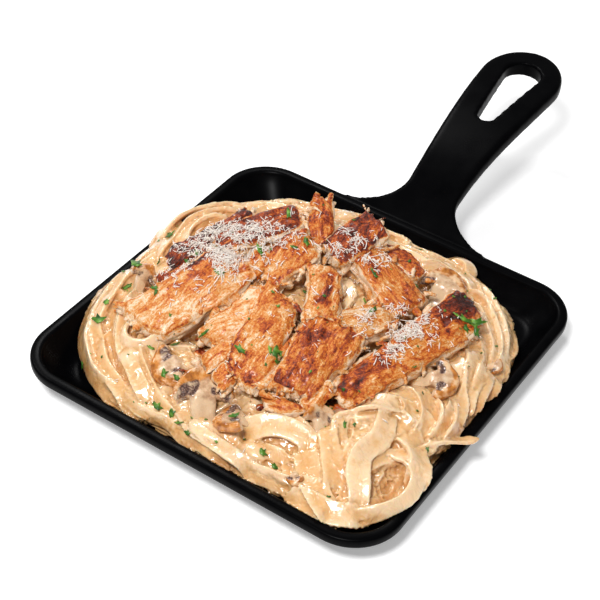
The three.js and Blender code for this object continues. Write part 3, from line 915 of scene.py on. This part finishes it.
def blob(bits, middle, size, rows=9, around=14):
    """A rounded lump of sauce, as rings of points."""
    points = []
    for row in range(rows):
        for k in range(around):
            rise, turn = math.pi * (row + 0.5) / rows, 2 * math.pi * k / around
            points.append((math.sin(rise) * math.cos(turn), math.sin(rise) * math.sin(turn), math.cos(rise)))
    bits.add(middle + np.array(points) * size, tube_faces(rows, around))


SOFT = blur(SURFACE, 6)
wall_ribbons()
fill_ribbons(200)
for plan, wide, lift, lean in RIBBONS:
    drape(plan, wide, lift, lean)
for points, wide, leans in LOOPS:
    place_free(points, wide, 1.9, leans)


CARRY_RISE = 4  # how far the bed may rise above the heap's top to reach a slice


def noodle_bed():
    """The sauce-coated inside of the heap, up to just under the tops of the ribbons."""
    filled = spread(spread(np.where(CORE, height, PAN_INSIDE), 2), 2, largest=False)
    top = np.minimum(np.maximum(filled - 3.4, SURFACE - 9), CEILING - 1.0)
    carrying = np.maximum(top, np.minimum(CARRIER + CARRY_RISE, CEILING - 0.3))
    top = blur(top + (carrying - top) * CARRIES, 2)
    rows, columns = np.nonzero(CORE)
    index = np.full(CORE.shape, -1)
    index[rows, columns] = np.arange(len(rows))
    total = len(rows)
    upper = np.column_stack([AXIS[columns], AXIS[rows], top[rows, columns]])
    lower = np.column_stack([AXIS[columns] * 0.9, AXIS[rows] * 0.9, np.full(total, FLOOR + 0.4)])
    faces = []
    border = set()
    for j, i in zip(rows, columns):
        quad = [int(index[j, i]), int(index[j, i + 1]), int(index[j + 1, i + 1]), int(index[j + 1, i])]
        if min(quad) < 0:
            continue
        faces.append(quad)
        faces.append([q + total for q in reversed(quad)])
        for edge in zip(quad, quad[1:] + quad[:1]):
            if edge[::-1] in border:
                border.remove(edge[::-1])
            else:
                border.add(edge)
    faces += [[a, a + total, b + total, b] for a, b in sorted(border)]
    return mesh_object("noodle_bed", np.vstack([upper, lower]), faces)


def join_meshes(*pieces):
    with bpy.context.temp_override(active_object=pieces[0], selected_editable_objects=list(pieces)):
        bpy.ops.object.join()
    return pieces[0]


NOODLE_TRIANGLES = 195000


def make_noodles():
    """Ribbons and bed drawn together under one skin of sauce."""
    ribbons = mesh_object("noodles_in_sauce", np.vstack(strands.points), strands.faces)
    sauce = Bits()
    for middle, size in BLOBS:
        blob(sauce, middle, size)
    whole = remeshed(join_meshes(ribbons, noodle_bed(), sauce.make("sauce")), 0.62, 1)
    thin = whole.modifiers.new("fewer", "DECIMATE")
    thin.ratio = min(1, NOODLE_TRIANGLES / (2 * len(whole.data.polygons)))
    applied(whole)
    points, outward = points_of(whole), normals_of(whole)
    across, tone, away = strands.owners(points)
    near = smoothstep(1.6, 0.6, away)
    # Painted highlight: a band near the edges of the nearest ribbon.
    rim = smoothstep(0.6, 0.8, np.abs(across)) * smoothstep(0.95, 0.85, np.abs(across)) * near
    spot = cell(points[:, 0], points[:, 1])
    # Painted shade, the stronger the deeper a point lies under the heap's top.
    deep = smoothstep(1, 7, SURFACE[spot] + 8 * SHADE[spot] - points[:, 2])
    set_attribute(whole, "shade", np.clip(deep * SHADE[spot], 0, 1))
    set_attribute(whole, "rim", rim)
    set_attribute(whole, "tone", tone * near + 0.5 * (1 - near))
    # Painted light and shade by height: points above the heap's broad level paler, points below it darker.
    level = field_from(finder(whole), True, -1)
    level = np.where(level > 0, level, SURFACE)
    broad = 0.5 * (blur(level, 12) + blur(level, 40))[spot]
    set_attribute(whole, "painted_height_shade", np.maximum(smoothstep(-3.5, 2.5, points[:, 2] - broad), 0.35))
    # Painted shade along ribbon borders, which are also grooved below, and in spots sunk below their
    # neighbours.
    border = smoothstep(0.9, 1.02, np.abs(across)) * near
    sunken = smoothstep(-0.5, -2.2, points[:, 2] - blur(level, 4)[spot])
    set_attribute(whole, "painted_crevice_shade", np.maximum(sunken, 0.8 * border))
    ripple = 0.35 * noise(points, 9, 91) + 0.1 * noise(points, 3.5, 92)
    lumps = smoothstep(0.3, 0.75, noise(points, 2.6, 93)) * smoothstep(-0.1, 0.4, noise(points, 17, 94))
    points = points + outward * (ripple + 0.4 * lumps - 0.7 * border)[:, None]
    points[:, 2] = np.maximum(points[:, 2], PAN_INSIDE[spot] + 0.1)
    set_points(whole, points)
    return finish_piece(whole, PASTA, "noodles", "noodles")


make_noodles()


# ---- Chicken ----

def own_axes(points):
    """A piece's middle, and its long, side and up directions, from how its points spread."""
    middle = points.mean(0)
    _, vectors = np.linalg.eigh(np.cov((points - middle).T))
    up = vectors[:, np.argmax(np.abs(vectors[2]))]
    rest = [vectors[:, k] for k in range(2, -1, -1) if abs(vectors[:, k] @ up) < 0.5]
    long = rest[0] * (1 if rest[0] @ [0.3, 1, 0] > 0 else -1)
    up = up * np.sign(up[2])
    side = np.cross(up, long)
    return middle, long, side, up


def local_shares(points):
    """Each point's place along the piece's long, side and up directions, from -1 to 1."""
    middle, long, side, up = own_axes(points)
    places = (points - middle) @ np.column_stack([long, side, up])
    low, high = places.min(0), places.max(0)
    return (places - (low + high) / 2) / ((high - low) / 2), places, (long, side, up)


# Looks of each slice: how golden its top is, how dark its edges are (near, far, left, right), and seared
# patches as (along, across, size, strength) in shares of the slice.
SEAR = {
    "chicken_center": (0.36, (0.3, 0.1, 0.4, 0), [(-0.9, 0.6, 0.35, 0.4)]),
    "chicken_front": (0.46, (0.1, 0.1, 0.1, -0.2),
                      [(-0.65, 0.2, 0.3, 0.2), (0.1, 0.5, 0.3, 0.2), (0.3, -0.2, 0.3, 0.1)]),
    "chicken_middle": (0.28, (0, 0.1, 0, 0.2), [(-0.2, -0.3, 0.3, 0.4), (0.3, -0.3, 0.28, 0.3)]),
    "chicken_left": (0.22, (-0.2, 0.15, 0.5, 0.0), [(0.4, 0.7, 0.5, 0.3), (-0.9, 0.8, 0.3, 0.4)]),
    "chicken_top": (0.4, (0.1, 0.2, 0.4, 0), [(0.0, 0.9, 0.4, 0.2)]),
    "chicken_far": (0.68, (0.3, 0.2, 0.4, 0.1), []),
    "chicken_right": (0.42, (0.1, 0.35, 0.3, -0.3),
                      [(-0.55, 0.3, 0.25, 0.3), (-0.85, 0.2, 0.2, 0.2),
                       (0.75, 0.3, 0.35, 0.3), (0.5, 0.0, 0.2, 0.25)]),
    "chicken_right_top": (0.36, (0.1, 0.25, 0.2, 0.1), [(0.6, 0.5, 0.3, 0.25), (-0.4, -0.5, 0.3, 0.2)]),
    "chicken_back": (0.62, (0.2, 0.2, 0.15, 0.05), [(0.3, 0.2, 0.5, 0.15)]),
    "chicken_inner": (0.24, (0.1, 0.1, 0.1, 0.1), []),
    "chicken_chunk": (0.2, (0, 0.1, 0, 0.4), [(0.2, -0.8, 0.4, 0.4)]),
    "chicken_narrow": (0.18, (0.15, 0, 0.2, 0), [(0, 0.9, 0.3, 0.2)]),
    "chicken_upright": (0.52, (0, 0.3, 0.1, 0.1), []),
    "chicken_left_far": (0.8, (0.3, 0.2, 0.2, 0.1), []),
    "chicken_left_inner": (0.6, (0.3, 0.1, 0.2, 0.1), []),
    "chicken_bit_back": (0.58, (0.1, 0.1, 0.1, 0.1), []),
}
PLAIN_SEAR = (0.34, (0.15, 0.15, 0.15, 0.1), [])


def torn_fibre(bits, spot, heading, length, thick, droop):
    """A tapering shred of meat, bent a little, from its root."""
    heading = heading / np.linalg.norm(heading)
    side = np.cross(heading, [0, 0, 1.0])
    side /= np.linalg.norm(side) + 1e-9
    up = np.cross(side, heading)
    bend = rng.uniform(-0.3, 0.3)
    rings = []
    for t in np.linspace(0, 1, 5):
        centre = spot + heading * t * length + side * bend * length * t * t - up * droop * length * t * t
        size = thick / 2 * (1.05 - 0.75 * t ** 1.5)
        for a, b in ((1, 0), (0.2, 0.8), (-0.9, 0.3), (-0.6, -0.7), (0.5, -0.8)):
            rings.append(centre + side * a * size + up * b * size)
    bits.add(np.array(rings), tube_faces(5, 5))


def frayed(piece, count):
    """The slice with torn fibres added round its sides and ends."""
    points, outward = points_of(piece), normals_of(piece)
    shares, _, (long, side, up) = local_shares(points)
    flank = np.nonzero((np.abs(outward @ up) < 0.5) & (shares[:, 2] < 0.6))[0]
    bits = Bits()
    for k in rng.choice(flank, min(count, len(flank)), replace=False):
        along = long * np.sign(shares[k, 0]) * rng.uniform(0.5, 1)
        along += side * rng.normal(0, 0.25)
        along += up * rng.normal(0, 0.12)
        along += outward[k] * rng.uniform(0.15, 0.7)
        length, thick, droop = rng.uniform(2, 5.5), rng.uniform(1.2, 2.4), rng.uniform(0, 0.3)
        torn_fibre(bits, points[k] - outward[k] * 0.8, along, length, thick, droop)
    return join_meshes(piece, bits.make("fibres"))


def chicken_piece(node, seed):
    plain = remeshed(copy_of(node, node.replace("chicken_", "slice_")), 1.0, 2)
    size = len(plain.data.polygons)
    piece = remeshed(frayed(plain, int(size / 50)), 0.6, 1)
    points, outward = points_of(piece), normals_of(piece)
    shares, places, (_, _, up) = local_shares(points)
    u, v, w = shares.T
    top = smoothstep(0.25, 0.75, outward @ up) * smoothstep(0.0, 0.4, w)
    ends = smoothstep(0.6, 1, np.abs(u))
    golden, (near, far, left, right), patches = SEAR.get(node, PLAIN_SEAR)
    sear = golden + near * smoothstep(-0.6, -0.95, u) + far * smoothstep(0.6, 0.95, u)
    sear += left * smoothstep(0.55, 0.9, v) + right * smoothstep(-0.55, -0.9, v)
    ragged = 1 + 0.9 * noise(points, 4, seed)
    for at_u, at_v, extent, strength in patches:
        sear += strength * smoothstep(1.5, 0.3, np.hypot(u - at_u, (v - at_v) * 0.7) / (extent * ragged))
    crust = (0.1 + golden * 0.6) * smoothstep(0.35, 0.9, w)
    rim = np.clip(1 - np.abs(outward @ up - 0.6) / 0.3, 0, 1)
    sear += 0.3 * rim * smoothstep(-0.2, 0.3, noise(points, 5, seed + 9) + golden * 0.5)
    cut = 0.02 + 0.12 * noise(points, 3, seed + 2) + 0.8 * crust
    set_attribute(piece, "sear", np.clip(sear * top + cut * (1 - top), 0, 1))
    # Fibres run along the slice, a little aslant; they tear at the cut sides and ends.
    slant = math.radians(16) * math.sin(seed)
    grain = places @ np.array(Matrix.Rotation(slant, 3, "Z"))
    set_vector(piece, "grain", grain + [0, 0, 40.0 * seed])
    strand_space = grain * [0.28, 1, 1]
    torn = 1 - 2.4 * np.abs(noise(strand_space, 3.2, seed + 3))
    fine = noise(strand_space, 1.5, seed + 4)
    swell = 0.9 * noise(points, 14, seed + 5) + 0.5 * noise(points, 6, seed + 6)
    pits = noise(points, 2.4, seed + 7)
    shift = 0.1 + swell + (1 - top) * (0.9 * torn + 0.35 * fine) + ends * pits * 0.9
    rough = smoothstep(0.3, 0.6, sear)
    blisters = rough * smoothstep(0.3, 0.6, noise(points, 3, seed + 8))
    shift += top * (0.35 * fine + (0.12 + 0.35 * rough) * pits - 0.8 * blisters)
    set_points(piece, points + outward * shift[:, None])
    return finish_piece(piece, MEAT, "chicken", node)


for number, node in enumerate(CHICKEN):
    chicken_piece(node, 20 + 7 * number)


def make_crumbs():
    """Small torn bits of chicken in the gaps between the slices and at their feet."""
    bits = Bits()
    ground = finder(*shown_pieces())
    places = np.argwhere((GAPS > 0.3) & (np.hypot(AXIS_X, AXIS_Y) < 62))
    for j, i in places[rng.choice(len(places), 150)]:
        hit = cast(ground, float(AXIS[i]), float(AXIS[j]), 100)
        if hit is None:
            continue
        heading = np.array([rng.normal(), rng.normal(), rng.normal(0, 0.25)])
        length, thick, droop = rng.uniform(3, 9), rng.uniform(1.4, 3.6), rng.uniform(-0.2, 0.4)
        torn_fibre(bits, hit[0] + hit[1] * 0.4, heading, length, thick, droop)
    piece = remeshed(bits.make("chicken_crumbs"), 0.6, 2)
    points, outward = points_of(piece), normals_of(piece)
    set_points(piece, points + outward * (0.5 * noise(points, 2.4, 700) + 0.2)[:, None])
    set_attribute(piece, "sear", np.clip(0.3 + 0.6 * noise(points, 9, 701), 0.03, 0.8))
    set_vector(piece, "grain", points)
    return finish_piece(piece, MEAT, "chicken")


make_crumbs()


# ---- Mushrooms ----

# How each slice lies, as in the CAD: its middle, its yaw, pitch and roll in degrees, the width of its cap
# and the length of its stem.
MUSHROOM_LIE = {
    "mushroom_right_far": ((41, 44, 31), (100, 4, 8), 23, 9),
    "mushroom_right": ((67, -3, 27.5), (25, -6, 16), 19, 12),
    "mushroom_left": ((-25, -60, 27), (-118, -16, -10), 23, 9),
    "mushroom_large": ((-6, -66, 26), (128, 20, 14), 27, 13),
    "mushroom_front_left": ((12, -68, 25), (-135, -12, 22), 21, 9),
    "mushroom_front": ((41, -51, 27.5), (120, 12, 30), 17, 8),
    "mushroom_gap": ((15, -46, 32.5), (100, 15, 20), 9, 5),
    "mushroom_near_wall": ((46, -76, 19.5), (-60, -14, 20), 8, 5),
    "mushroom_far_left": ((-67, -27, 30), (70, 40, 65), 14, 6),
    "mushroom_near_rim": ((80, 23, 22), (10, -12, 20), 8, 4),
}


def mushroom_piece(node, seed):
    piece = remeshed(copy_of(node, node.replace("mushroom_", "mushroom_slice_")), 0.5, 6)
    points, outward = points_of(piece), normals_of(piece)
    middle, (yaw, pitch, roll), cap, stem = MUSHROOM_LIE[node]
    turn = (Matrix.Rotation(math.radians(yaw), 3, "Z") @ Matrix.Rotation(math.radians(-pitch), 3, "Y")
            @ Matrix.Rotation(math.radians(roll), 3, "X"))
    x, y, z = ((points - middle) @ np.array(turn)).T
    flat = np.abs(outward @ np.array(turn)[:, 2])
    half, dome = cap / 2, cap * 0.46
    wander = noise(points, 5, seed + 3)
    edge = np.hypot(np.maximum(x, 0) / dome, y / half) + 0.2 * wander
    skin = smoothstep(0.42, 0.8, edge) * smoothstep(-0.15, 0.05, x / dome)
    skin += 0.8 * (1 - flat) * (x > -0.1 * dome)
    set_attribute(piece, "skin", np.clip(skin, 0, 1))
    line = dome * (0.12 - 0.42 * (y / half) ** 2 + 0.16 * wander)
    wide = np.abs(y) / half
    gill = smoothstep(0.34, 0.08, np.abs(x - line) / dome) * smoothstep(0.12, 0.34, wide + 0.15 * wander)
    gill *= smoothstep(0.98, 0.7, wide) * smoothstep(-0.35, 0.1, y / half * math.cos(seed) + 0.25 + wander)
    set_attribute(piece, "gill", gill)
    set_attribute(piece, "cover", 0.4 * smoothstep(-0.15, -0.5, x / stem))
    shift = 0.5 * noise(points, 8, seed) + 0.3 * noise(points, 2.6, seed + 1) - 0.6 * gill * flat + 0.1
    shift += 0.15 * gill * np.sin(2.6 * y)
    points = points + outward * shift[:, None]
    points[:, 2] -= 0.3 * cap * smoothstep(-0.05, -0.9, x / stem)  # the stem dips into the noodles
    set_points(piece, points)
    return finish_piece(piece, MUSHROOM, "mushroom", node)


for number, node in enumerate(MUSHROOMS):
    mushroom_piece(node, 300 + 5 * number)


# ---- Parmesan and parsley ----

SCATTER_ON = finder(*[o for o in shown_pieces() if o.name not in ("pan_body", "pan_handle")])


def lying_frame(normal, turn):
    """Two directions in the plane of a surface, and its normal."""
    first = np.cross(normal, [math.cos(turn), math.sin(turn), 0.2])
    first /= np.linalg.norm(first)
    return first, np.cross(normal, first), normal


def shred(bits, spot, normal, length, thick):
    """A thin curved strand of grated cheese."""
    first, second, up = lying_frame(normal, rng.uniform(0, 2 * math.pi))
    bend = rng.uniform(-0.35, 0.35)
    rise = rng.uniform(0, 0.35)
    rings = []
    for t in np.linspace(-0.5, 0.5, 4):
        lift = thick * 0.6 + rise * length * (0.25 - t * t)
        centre = spot + first * t * length + second * bend * length * (t * t) + up * lift
        size = thick * (1.1 - abs(t) * 0.7) / 2
        for a, b in ((1, 0), (0, 0.7), (-1, 0), (0, -0.7)):
            rings.append(centre + second * a * size + up * b * size)
    bits.add(np.array(rings), tube_faces(4, 4))


def crumb(bits, spot, size):
    """A grain of grated cheese."""
    even = [(1, 0, 0), (0, 1, 0), (-1, 0, 0), (0, -1, 0), (0, 0, 0.8), (0, 0, -0.8)]
    corners = rng.normal(0, 0.12, (6, 3)) + even
    faces = [(k, (k + 1) % 4, 4) for k in range(4)] + [((k + 1) % 4, k, 5) for k in range(4)]
    bits.add(spot + corners * size / 2, faces)


# Where the cheese lies: middle, reach along and across, direction in degrees, number of shreds.
CHEESE_DRIFTS = [
    ((-34, -8), (36, 16), 60, 1400),
    ((-48, -6), (28, 10), 55, 420),
    ((-4, 20), (24, 9), 40, 300),
    ((10, 25), (16, 8), 20, 260),
    ((40, 12), (15, 9), 30, 220),
    ((48, 2), (22, 9), 65, 420),
    ((24, -20), (6, 4), 30, 80),
    ((30, -2), (10, 7), 30, 110),
    ((46, -10), (12, 7), 60, 120),
    ((0, -30), (60, 50), 0, 160),
    ((0, 0), (75, 70), 0, 160),
]


def make_cheese():
    bits = Bits()
    for (x0, y0), (far, wide), turn, count in CHEESE_DRIFTS:
        c, s = math.cos(math.radians(turn)), math.sin(math.radians(turn))
        for _ in range(count):
            a, b = rng.normal(0, 0.42, 2)
            x, y = x0 + a * far * c - b * wide * s, y0 + a * far * s + b * wide * c
            place = [[x, y, 0.0]]
            clump = noise(place, 6, 800)[0] + 0.5 * noise(place, 2.5, 801)[0]
            hit = cast(SCATTER_ON, x, y, 100)
            if hit is None or hit[1][2] < 0.15 or hit[0][2] < 18 or clump < rng.uniform(-0.3, 0.25):
                continue
            near = hit[0] + rng.normal(0, 0.7, 3) * [1, 1, 0] + hit[1] * rng.uniform(0, 0.8)
            crumb(bits, near, rng.uniform(0.35, 0.8))
            length = rng.gamma(3, 0.5) + 0.6
            if rng.random() < 0.03:
                length += rng.uniform(2, 6)
            shred(bits, hit[0] + hit[1] * rng.uniform(0, 1.2), hit[1], length, rng.uniform(0.26, 0.44))
    return finish_piece(bits.make("parmesan"), CHEESE, None)


def leaf(bits, spot, normal, size, turn, narrow=0.6):
    """A torn bit of parsley leaf: a jagged, cupped outline of a little thickness."""
    first, second, up = lying_frame(normal, turn)
    count = 11
    cup = rng.uniform(0.1, 0.4)
    outline = []
    for k in range(count):
        a = 2 * math.pi * k / count
        reach = size / 2 * (0.45 + 0.65 * rng.random() * (k % 2) + 0.3 * math.cos(2.5 * a) ** 2)
        p, q = reach * math.cos(a), reach * math.sin(a) * narrow
        outline.append((p, q, cup * (p * p + q * q) / size))
    centre = (0, 0, 0)
    thick = 0.16
    places = [(p, q, h + lift) for lift in (thick, -thick) for p, q, h in outline + [centre]]
    points = np.array([spot + first * p + second * q + up * (h + 0.5) for p, q, h in places])
    one = count + 1
    faces = [(k, (k + 1) % count, count) for k in range(count)]
    faces += [(one + (k + 1) % count, one + k, one + count) for k in range(count)]
    faces += [((k + 1) % count, k, one + k, one + (k + 1) % count) for k in range(count)]
    bits.add(points, faces)


# Larger bits of parsley: place, size, direction in degrees, narrowness.
LEAVES = [
    ((-70, -28), 9, 60, 0.5), ((-74, -30), 6, -20, 0.5), ((-70, -54), 7, 100, 0.6), ((-31, -21), 5, 90, 0.7),
    ((12, -42), 5.5, 10, 0.7), ((13, -40), 4, 70, 0.5), ((14, -44), 3.5, 130, 0.5), ((10, -43), 3.5, 40, 0.5),
    ((30, 3), 5.5, 160, 0.5), ((61, 27), 7, 110, 0.4), ((65, 30), 7, 140, 0.6), ((63, 25), 5, 60, 0.5),
    ((67, 27), 5, 20, 0.6), ((58, 26), 5, 100, 0.3), ((-20, -78), 5, 60, 0.7), ((-13, -77), 4.5, 10, 0.7),
    ((-8, -79), 4.5, 120, 0.8), ((40, -43), 5.5, 40, 0.8), ((-20, -46), 6, 150, 0.25), ((0, -49), 6, 80, 0.4),
    ((29, -74), 4, 50, 0.8), ((35, -74), 4, 100, 0.8), ((50, -48), 4, 30, 0.4), ((12, -69), 5, 120, 0.4),
    ((-73, -45), 4, 30, 0.7), ((-65, -71), 3.5, 20, 0.6), ((-2, -81), 3, 70, 0.8), ((-25, -67), 4, 10, 0.7),
    ((-19, -66), 3.5, 60, 0.7), ((80, -33), 3, 50, 0.8), ((-39, -58), 4, 100, 0.4), ((-32, -50), 4, 140, 0.6),
    ((-51, -40), 3.5, 120, 0.5), ((-49, -41), 3, 20, 0.7), ((-78, 6), 5, 40, 0.8), ((-71, -11), 4, 90, 0.7),
    ((-49, -13), 3.5, 30, 0.6), ((-51, -17), 3.5, 80, 0.6), ((-26, 22), 6, 30, 0.4), ((-10, 12), 6, 45, 0.4),
    ((-12, 6), 4, 100, 0.5), ((-24, -2), 6, 50, 0.4), ((20, 20), 4, 60, 0.5), ((22, 10), 4.5, 100, 0.4),
]


def make_parsley():
    bits = Bits()
    for (x, y), size, turn, narrow in LEAVES:
        hit = cast(SCATTER_ON, x, y, 100)
        if hit is not None:
            leaf(bits, hit[0], hit[1], 1.25 * size, math.radians(turn), 0.9 * narrow)
    for _ in range(120):
        x, y = rng.uniform(-82, 84), rng.uniform(-82, 80)
        hit = cast(SCATTER_ON, x, y, 100)
        if hit is not None and hit[0][2] > 14 and hit[1][2] > 0.2:
            leaf(bits, hit[0], hit[1], rng.uniform(0.8, 2.6), rng.uniform(0, 6.3), rng.uniform(0.3, 0.8))
    return finish_piece(bits.make("parsley"), HERB, None)


make_cheese()
make_parsley()


# ---- Setting: floor, light and camera ----

def make_floor():
    size = 3000
    # A little below the pan, so that the two faces don't meet.
    corners = [(x * size, y * size, -0.2) for x, y in ((-1, -1), (1, -1), (1, 1), (-1, 1))]
    floor = mesh_object("floor", corners, [(0, 1, 2, 3)])
    g = Graph("pale_floor")
    g.set(Base_Color=colour(250, 250, 250), Roughness=0.9)
    g.set(Emission_Color=(1, 1, 1, 1), Emission_Strength=0.3)
    floor.data.materials.append(g.material)


def area_light(name, place_mm, aim_mm, size_mm, power):
    data = bpy.data.lights.new(name, "AREA")
    data.shape = "DISK"
    data.size = size_mm * MM
    data.energy = power
    lamp = bpy.data.objects.new(name, data)
    bpy.context.scene.collection.objects.link(lamp)
    lamp.location = Vector(place_mm) * MM
    lamp.rotation_euler = (Vector(aim_mm) - Vector(place_mm)).to_track_quat("-Z", "Y").to_euler()


CAMERA_PLACE = (0.25359, -0.41436, 0.46813)  # in metres
CAMERA_ANGLES = (31.8464, 41.8799, 3.4137)  # azimuth, elevation and roll in degrees
CAMERA_LENS = 92.1427


def make_camera():
    azimuth, elevation, roll = (math.radians(a) for a in CAMERA_ANGLES)
    level = Vector((-math.sin(azimuth), math.cos(azimuth), 0))
    forward = level * math.cos(elevation) - Vector((0, 0, math.sin(elevation)))
    right = forward.cross(Vector((0, 0, 1))).normalized()
    up = right.cross(forward)
    x_axis = right * math.cos(roll) + up * math.sin(roll)
    y_axis = up * math.cos(roll) - right * math.sin(roll)
    data = bpy.data.cameras.new("camera")
    data.sensor_width = 36
    data.lens = CAMERA_LENS
    camera = bpy.data.objects.new("camera", data)
    bpy.context.scene.collection.objects.link(camera)
    turn = Matrix((x_axis, y_axis, -forward)).transposed().to_4x4()
    camera.matrix_world = Matrix.Translation(CAMERA_PLACE) @ turn
    data.clip_start = 0.01
    data.clip_end = 20
    bpy.context.scene.camera = camera


def make_light():
    world = bpy.data.worlds.new("studio")
    world.use_nodes = True
    world.node_tree.nodes["Background"].inputs[0].default_value = (1, 1, 1, 1)
    world.node_tree.nodes["Background"].inputs[1].default_value = 0.3
    bpy.context.scene.world = world
    area_light("key", (80, -450, 760), (0, 0, 20), 200, 6.0)
    area_light("back", (-420, 420, 640), (0, 0, 20), 180, 2.0)
    area_light("side", (-560, 60, 560), (0, 0, 20), 150, 0.9)


make_floor()
make_camera()
make_light()
bpy.context.scene.view_settings.view_transform = "Standard"
